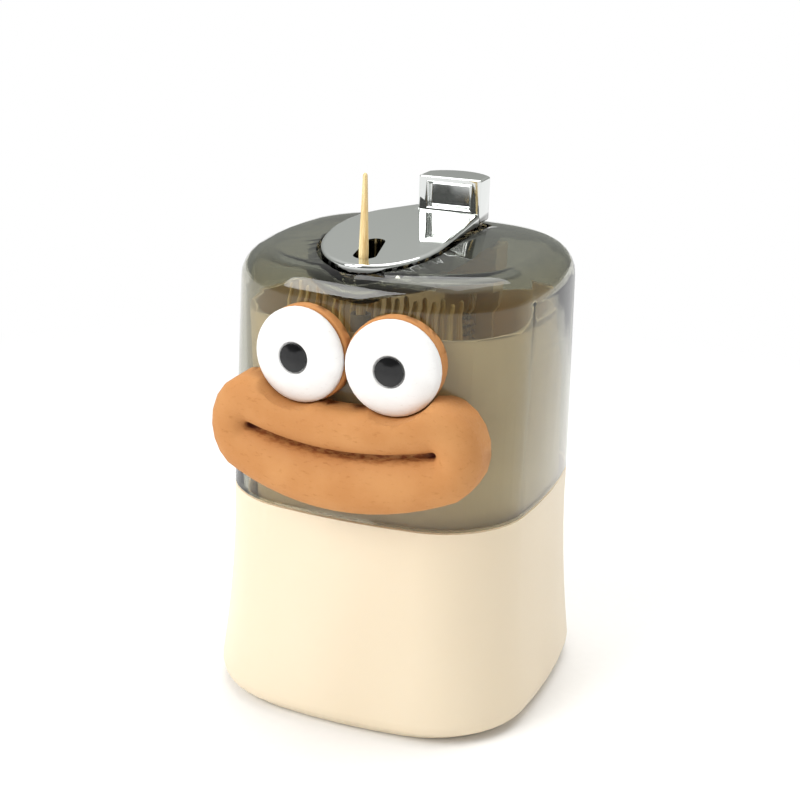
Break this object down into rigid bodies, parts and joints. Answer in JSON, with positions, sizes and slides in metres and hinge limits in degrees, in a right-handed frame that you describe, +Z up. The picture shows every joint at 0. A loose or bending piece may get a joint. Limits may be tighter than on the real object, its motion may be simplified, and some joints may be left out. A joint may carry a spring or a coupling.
{
  "type": "toothpick holder",
  "caption": "Press-top toothpick holder: cream flared base, clear smoke lift-off cover with a chrome outlet plate and button, and a face with big eyes and full lips.",
  "frame": {"origin": "centre of the flat underside of the base", "axes": "+Z up, the face looks along -Y, +X to the face's left, the viewer's right"},
  "size_m": [0.074, 0.0797, 0.1175],
  "materials": {
    "cream_plastic": "cream, satin, moulded",
    "tub_cream_plastic": "cream, satin, moulded",
    "bracket_cream_plastic": "cream, satin, moulded",
    "smoke_clear_plastic": "clear with a smoke tint, polished",
    "chrome_plating": "mirror-bright plating",
    "bright_steel": "bright drawn",
    "pale_rod_steel": "bright drawn",
    "grey_plastic": "grey, moulded",
    "pale_wood": "bare, pale, straight grain",
    "brown_matte_resin": "orange-brown, matte, slightly rough",
    "white_matte_resin": "white, matte, slightly rough",
    "black_gloss_resin": "black, glossy"
  },
  "bodies": {
    "base": {"base_shell": "cream_plastic", "base_bottom": "cream_plastic", "lever_pin": "bright_steel", "tub": "tub_cream_plastic", "rod_bracket": "bracket_cream_plastic", "guide_tube": "grey_plastic", "return_spring": "bright_steel", "toothpick_01": "pale_wood", "toothpick_02": "pale_wood", "toothpick_03": "pale_wood", "toothpick_04": "pale_wood", "toothpick_05": "pale_wood", "toothpick_06": "pale_wood", "toothpick_07": "pale_wood", "toothpick_08": "pale_wood", "toothpick_09": "pale_wood", "toothpick_10": "pale_wood", "toothpick_11": "pale_wood", "toothpick_12": "pale_wood", "toothpick_13": "pale_wood", "toothpick_14": "pale_wood", "toothpick_15": "pale_wood", "toothpick_16": "pale_wood", "toothpick_17": "pale_wood", "toothpick_18": "pale_wood", "toothpick_19": "pale_wood", "toothpick_20": "pale_wood"},
    "press_button": {"button": "chrome_plating", "rod": "pale_rod_steel", "rod_clip": "bright_steel"},
    "lever": {"lever": "grey_plastic"},
    "lifter": {"lifter": "grey_plastic"},
    "drawn_toothpick": {"toothpick_out": "pale_wood"},
    "cover": {"cover_shell": "smoke_clear_plastic", "deck": "chrome_plating", "eye_disc_left": "brown_matte_resin", "eye_disc_right": "brown_matte_resin", "eye_left": "white_matte_resin", "eye_right": "white_matte_resin", "pupil_left": "black_gloss_resin", "pupil_right": "black_gloss_resin", "lips": "brown_matte_resin"}
  },
  "joints": [
    {"name": "button_press", "type": "slide", "parent": "base", "child": "press_button", "axis": [0, 0, -1], "range_m": [0, 0.005], "stiffness_N_per_m": 120, "springref_m": -0.01, "deforming": ["return_spring"]},
    {"name": "lever_turn", "type": "hinge", "parent": "base", "child": "lever", "pos_m": [0.00607, 0.0064, 0.01296], "axis": [1, 0, 0], "range_deg": [-28.5, 0.5]},
    {"name": "lifter_rise", "type": "slide", "parent": "base", "child": "lifter", "axis": [0, 0, 1], "range_m": [-0.0003, 0.015]},
    {"name": "toothpick_slide", "type": "slide", "parent": "base", "child": "drawn_toothpick", "axis": [0, 0, 1], "range_m": [-0.0118, 0.05]},
    {"name": "cover_lift", "type": "slide", "parent": "base", "child": "cover", "axis": [0, 0, 1], "range_m": [0, 0.12]}
  ],
  "couplings": [
    {"joint": "lever_turn", "follows": "button_press", "rad_per_m": -90.87},
    {"joint": "lifter_rise", "follows": "button_press", "ratio": 2.748}
  ]
}
